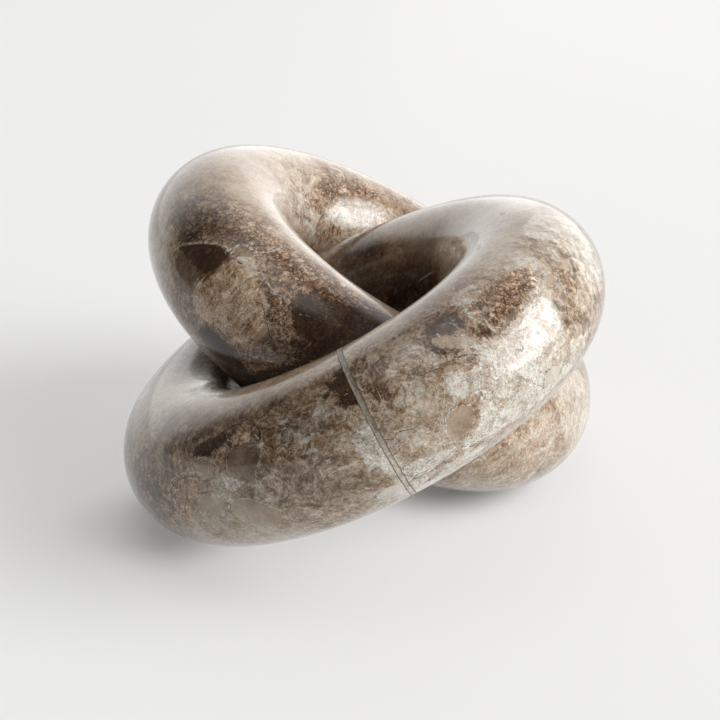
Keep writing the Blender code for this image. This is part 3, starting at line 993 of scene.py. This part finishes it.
def stoneClouds(where, offset, fibreRun):
    # Millimetre coordinates, bent so that the figure flows, and the clouds that the figure is made of
    fig = SimpleNamespace()
    fig.place = shift("ADD", shift("SCALE", where, toMillimetres), offset)
    fig.bent = nudge(fig.place, drift(fig.place, 0.07, 0.5), 5.0)
    ripple = drift(fig.place, 0.45, 0.6)
    fig.flow = nudge(fig.bent, ripple, 0.9)
    fig.jitter = drift(fig.place, 1.6, 0.6)
    fig.rough = nudge(fig.place, fig.jitter, 0.7)
    fig.broad = clouds(fig.bent, 0.06, 2, 0.5)
    fig.mottle = clouds(fig.flow, 0.2, 4, 0.62)
    fig.grain = clouds(fig.place, 0.85, 4, 0.72)
    fig.fine = clouds(fig.place, 2.6, 2, 0.7)
    fig.curly = fade(clouds(fig.bent, 0.24, 4, 0.58, 3.0), 0.45, 0.55)
    # Fibres: clouds drawn out along the bedding of the stone
    drawn = shift("SCALE", fibreRun, times(shift("DOT_PRODUCT", fig.bent, fibreRun), 0.84))
    fig.fibre = clouds(shift("SUBTRACT", nudge(fig.bent, ripple, 0.5), drawn), 1.0, 4, 0.66)
    fig.ragged = plus(swing(fig.mottle, 0.9), swing(fig.grain, 1.2))
    # Old clasts of several sizes, each with its own tint
    broken = nudge(fig.flow, fig.jitter, 0.5)
    fig.clastTone = channels(cells(broken, 0.24)["Color"])
    fig.clastEdge = cells(broken, 0.24, "DISTANCE_TO_EDGE")["Distance"]
    fig.bitTone = channels(cells(broken, 0.62)["Color"])
    fig.bitEdge = cells(broken, 0.62, "DISTANCE_TO_EDGE")["Distance"]
    fig.crumbs = channels(cells(fig.rough, 1.9)["Color"])
    return fig


def readPainted(tree, attribute):
    step = tree.nodes.new("ShaderNodeAttribute")
    step.attribute_name = attribute
    return list(channels(step.outputs["Color"])) + [step.outputs["Alpha"]]


def edged(fig, field, share, width):
    # Breaks up the edge of a painted field
    return fade(scaleAdd(fig.ragged, share, field), 0.5 - width, 0.5 + width)


def addPainted(fig, tree):
    # The painted fields, with their edges broken up
    umber, brown, pale, slate = readPainted(tree, "stoneTones")
    rust, fig.pebble, swirl, fig.smear = readPainted(tree, "stoneForms")
    fig.crackOffset, fig.crackWidth, fig.veinOffset, fig.veinWidth = readPainted(tree, "stoneLines")
    fig.light, lace, fig.plain = readPainted(tree, "stoneToneAndPaintedLight")[:3]
    fig.umber = edged(fig, umber, 1.1, 0.12)
    fig.brown = edged(fig, brown, 1.1, 0.14)
    fig.pale = edged(fig, pale, 0.85, 0.08)
    fig.slate = edged(fig, slate, 0.3, 0.14)
    fig.rust = edged(fig, rust, 1.3, 0.12)
    fig.swirl = edged(fig, swirl, 0.5, 0.2)
    fig.lace = edged(fig, lace, 0.5, 0.25)
    fig.calm = edged(fig, fig.pebble, 0.12, 0.04)
    fig.quiet = times(less(fig.calm, 0.68), less(fig.plain, 0.6))


def stoneLightness(fig):
    # Painted, then clouded, then broken up. The painted level holds painted sheen, highlights and shade as
    # well as the stone's own tone
    level = minus(plus(fig.light, swing(fig.pale, 0.24)), times(fig.brown, 0.11))
    texture = plus(swing(fig.mottle, 0.55), swing(fig.broad, 0.25))
    for value, amount in ((fig.clastTone[0], 0.32), (fig.bitTone[0], 0.28), (fig.crumbs[0], 0.09),
                          (fig.grain, 0.45), (fig.curly, 0.26)):
        texture = plus(texture, swing(value, amount))
    texture = plus(texture, times(swing(fig.fibre, 0.7), plus(fig.swirl, 0.45)))
    level = plus(level, times(texture, scaleAdd(fig.light, -1.05, 1.25), fig.quiet))
    return plus(level, times(fig.calm, swing(clouds(fig.place, 0.16, 0, 0.5), 0.3)))


def stoneGround(fig):
    # The ground by its lightness, with grey and pinkish drifts
    level = stoneLightness(fig)
    greys = ladder(level, marble["greys"])
    greyShare = fade(clouds(fig.bent, 0.09, 3, 0.6), 0.5, 0.62)
    ground = tint(times(greyShare, 0.16), ladder(level, marble["ladder"]), greys)
    ground = tint(times(fig.slate, 0.3), ground, greys)
    return lay(ground, "pink", fade(fig.bitTone[1], 0.72, 0.8), fade(level, 0.3, 0.46, 0.4), fig.quiet)


def layUmber(fig, ground):
    # Umber places: glossy dark, broken by brown crumbs
    tone = plus(plus(times(fig.mottle, 0.3), times(fig.grain, 0.4)), times(fig.fibre, 0.3))
    dark = ladder(plus(tone, times(fig.crumbs[0], 0.08)), marble["darks"])
    return tint(times(fig.umber, 0.96), ground, lay(dark, "umber", fig.calm, 0.5))


def layRust(fig, ground):
    # Rust places: granules with dark gaps between them
    gravel = cells(nudge(fig.flow, fig.jitter, 1.4), 0.58)
    gravelTone = channels(gravel["Color"])
    shape = fade(plus(gravel["Distance"], swing(fig.grain, 0.5)), 0.62, 0.36)
    granule = times(shape, fade(gravelTone[2], 0.2, 0.32))
    dust = fade(plus(times(fig.crumbs[1], 0.5), fig.grain), 0.66, 0.86)
    tone = plus(plus(times(gravelTone[1], 0.55), times(fig.grain, 0.5)), swing(fig.mottle, 0.8))
    between = tint(dust, marble["gap"], ladder(times(fig.crumbs[1], 0.7), marble["granules"]))
    colour = tint(granule, between, ladder(tone, marble["granules"]))
    colour = shift("SCALE", colour, scaleAdd(fig.light, 1.5, 0.25))
    ground = tint(times(fig.rust, 0.8), ground, colour)
    return lay(ground, "gap", fade(fig.curly, 0.6, 0.2), fig.rust, 0.45)


def layFlecks(fig, ground):
    # Stray brown and rusty flecks everywhere
    stray = fade(clouds(fig.flow, 0.7, 4, 0.78), 0.60, 0.70)
    ground = lay(ground, "fleck", stray, fig.quiet, 0.5)
    spots = fade(clouds(fig.rough, 0.5, 2, 0.5), 0.70, 0.73)
    return lay(ground, "rust", spots, fig.quiet, 0.7)


def layRims(fig, ground):
    # Thin pale rim round every painted pebble, and a dark one outside it
    shore = scaleAdd(fig.ragged, 0.12, fig.pebble)
    ground = lay(ground, "cream", band(shore, 0.44, 0.08), fade(fig.grain, 0.46, 0.58, 0.5))
    return lay(ground, "fleck", band(shore, 0.34, 0.08), fade(fig.mottle, 0.56, 0.46, 0.6))


def laySeams(fig, ground):
    # Edges of the clasts, here dark and there pale
    seam = fade(plus(fig.clastEdge, swing(fig.fine, 0.1)), 0.07, 0.02)
    seam = calc("MAXIMUM", seam, fade(plus(fig.bitEdge, swing(fig.fine, 0.12)), 0.09, 0.03, 0.8))
    seam = times(seam, fig.quiet, less(fig.umber, 0.8))
    ground = lay(ground, "fleck", seam, fade(fig.mottle, 0.50, 0.42, 0.45))
    return lay(ground, "cream", seam, fade(fig.mottle, 0.52, 0.62, 0.24))


def laySwirls(fig, ground):
    # Swirled places are browner, from the stone's own tone and a painted warm bounce light in the shaded
    # wedge of the back link, with thin dark and pale threads along the fibres
    ground = tint(fig.swirl, ground, shift("MULTIPLY", ground, marble["swirlTintAndBounce"]))
    ground = lay(ground, "fleck", fade(fig.fibre, 0.43, 0.38), fig.swirl, 0.55)
    return lay(ground, "cream", fade(fig.fibre, 0.57, 0.62), less(fig.umber, 0.9), fig.swirl, 0.35)


def layCurls(fig, ground):
    # Thin dark and pale lines along the contours of a cloud
    curl = calc("PINGPONG", times(clouds(fig.flow, 0.30, 2, 0.5), 17.0), 1.0)
    curl = plus(curl, swing(fig.fine, 0.35))
    share = times(fade(clouds(fig.bent, 0.22, 2, 0.5), 0.42, 0.56), fig.quiet, less(fig.umber, 0.8))
    ground = lay(ground, "fleck", fade(curl, 0.24, 0.06), share, 0.42)
    return lay(ground, "cream", fade(curl, 0.76, 0.94), share, 0.26)


def layFiligree(fig, ground):
    # Cream filigree, and pale smears along the ring
    wisps = fade(calc("ABSOLUTE", minus(clouds(fig.flow, 0.42, 3, 0.65), 0.5)), 0.03, 0.005)
    wisps = times(wisps, less(fig.plain, 0.8), less(fig.umber, 0.85))
    share = calc("MINIMUM", plus(fig.lace, fade(fig.broad, 0.5, 0.65, 0.3)), 1.0)
    ground = lay(ground, "cream", wisps, share, 0.17)
    return lay(ground, "smear", fade(scaleAdd(fig.ragged, 0.9, fig.smear), 0.3, 0.8), 0.62)


def lineShare(fig, offsetField, widthField, broken):
    # A painted line, wavering and broken a little
    side = scaleAdd(offsetField, 2 * lineReach, -lineReach)
    gap = minus(calc("ABSOLUTE", plus(side, swing(fig.grain, 0.45))), times(widthField, 0.9))
    line = times(fade(gap, 0.08, -0.08), fade(widthField, 0.01, 0.05))
    return times(line, fade(fig.grain, broken - 0.06, broken + 0.06))


def layLines(fig, ground):
    fig.crack = lineShare(fig, fig.crackOffset, fig.crackWidth, 0.44)
    ground = lay(ground, "cream", lineShare(fig, fig.veinOffset, fig.veinWidth, 0.49), 0.6)
    return lay(ground, "crack", fig.crack, 0.8)


def laySpeckle(fig, ground):
    # Fine grain over everything but the smoothest places
    speckle = plus(plus(swing(fig.fine, 1.7), swing(fig.grain, 0.7)), swing(fig.crumbs[1], 0.2))
    speckle = times(speckle, less(fig.plain, 0.45), less(fig.calm, 0.7))
    return shift("SCALE", ground, plus(speckle, 1.0))


def marbleMaterial(name):
    kind = marbleKinds[name]
    material, tree, shader = newMaterial(name)
    fig = stoneClouds(objectPlace(tree), kind["offset"], kind["fibreRun"])
    addPainted(fig, tree)
    ground = stoneGround(fig)
    for layer in (layUmber, layRust, layFlecks, layRims, laySeams, laySwirls, layCurls, layFiligree, layLines,
                  laySpeckle):
        ground = layer(fig, ground)
    wire(shader["Base Color"], shift("MULTIPLY", ground, kind["tint"]))
    wire(shader["Roughness"], plus(swing(fig.mottle, 0.2), marble["roughness"]))
    shader["Specular IOR Level"].default_value = marble["specular"]
    shader["Coat Weight"].default_value = marble["coat"]
    shader["Coat Roughness"].default_value = marble["coatRoughness"]
    bump = tree.nodes.new("ShaderNodeBump")
    bump.inputs["Strength"].default_value = marble["bumpStrength"]
    bump.inputs["Distance"].default_value = marble["bumpDepth"]
    wire(bump.inputs["Height"], minus(clouds(fig.place, 0.8, 3, 0.6), times(fig.crack, 0.8)))
    wire(shader["Normal"], bump.outputs[0])
    return material


resinLook = {
    "tones": ((0.32, (0.16, 0.13, 0.10, 1)), (0.46, (0.30, 0.26, 0.215, 1)), (0.58, (0.42, 0.38, 0.32, 1)),
              (0.72, (0.60, 0.55, 0.48, 1))),
    "paleEdge": (0.56, 0.50, 0.42, 1), "rim": (0.20, 0.145, 0.10, 1), "outerRim": (0.13, 0.095, 0.07, 1),
    "paleCrumb": (0.50, 0.40, 0.30, 1), "darkCrumb": (0.10, 0.08, 0.06, 1), "roughness": 0.4,
    "paleBelow": (0.058, 0.044),   # height at which the resin begins to turn paler and at which it is palest
}


def resinMaterial():
    # Grey-green resin, paler along one edge, with a few stone crumbs in it
    material, tree, shader = newMaterial("jointResin")
    where = objectPlace(tree)
    place = shift("SCALE", where, toMillimetres)
    centre, outwards, across = sawDirections()
    sideways = times(shift("DOT_PRODUCT", shift("SUBTRACT", where, centre), across), toMillimetres)
    patches = clouds(place, 0.5, 5, 0.7)
    crumbs = clouds(place, 1.8, 3, 0.72)
    low = fade(axisPart(where, "Z"), *resinLook["paleBelow"])
    colour = ladder(scaleAdd(low, 0.24, minus(patches, 0.11)), resinLook["tones"])
    edge = scaleAdd(minus(patches, 0.5), 2.2, sideways)
    rim = scaleAdd(minus(crumbs, 0.5), 2.4, calc("ABSOLUTE", sideways))
    for share, over in (
            (fade(edge, -0.30, -0.55, 0.75), "paleEdge"), (fade(rim, 0.36, 0.56, 0.85), "rim"),
            (fade(rim, 0.64, 0.76, 0.45), "outerRim"), (fade(crumbs, 0.58, 0.66, 0.6), "paleCrumb"),
            (fade(crumbs, 0.42, 0.36, 0.6), "darkCrumb")):
        colour = tint(share, colour, resinLook[over])
    wire(shader["Base Color"], colour)
    shader["Roughness"].default_value = resinLook["roughness"]
    return material


def dress(pieces, material):
    for piece in pieces:
        piece.data.materials.clear()
        piece.data.materials.append(material)


dress(frontHalves, marbleMaterial("frontMarble"))
dress([backStone], marbleMaterial("backMarble"))
dress(resins, resinMaterial())

bpy.context.scene.view_settings.view_transform = "Standard"
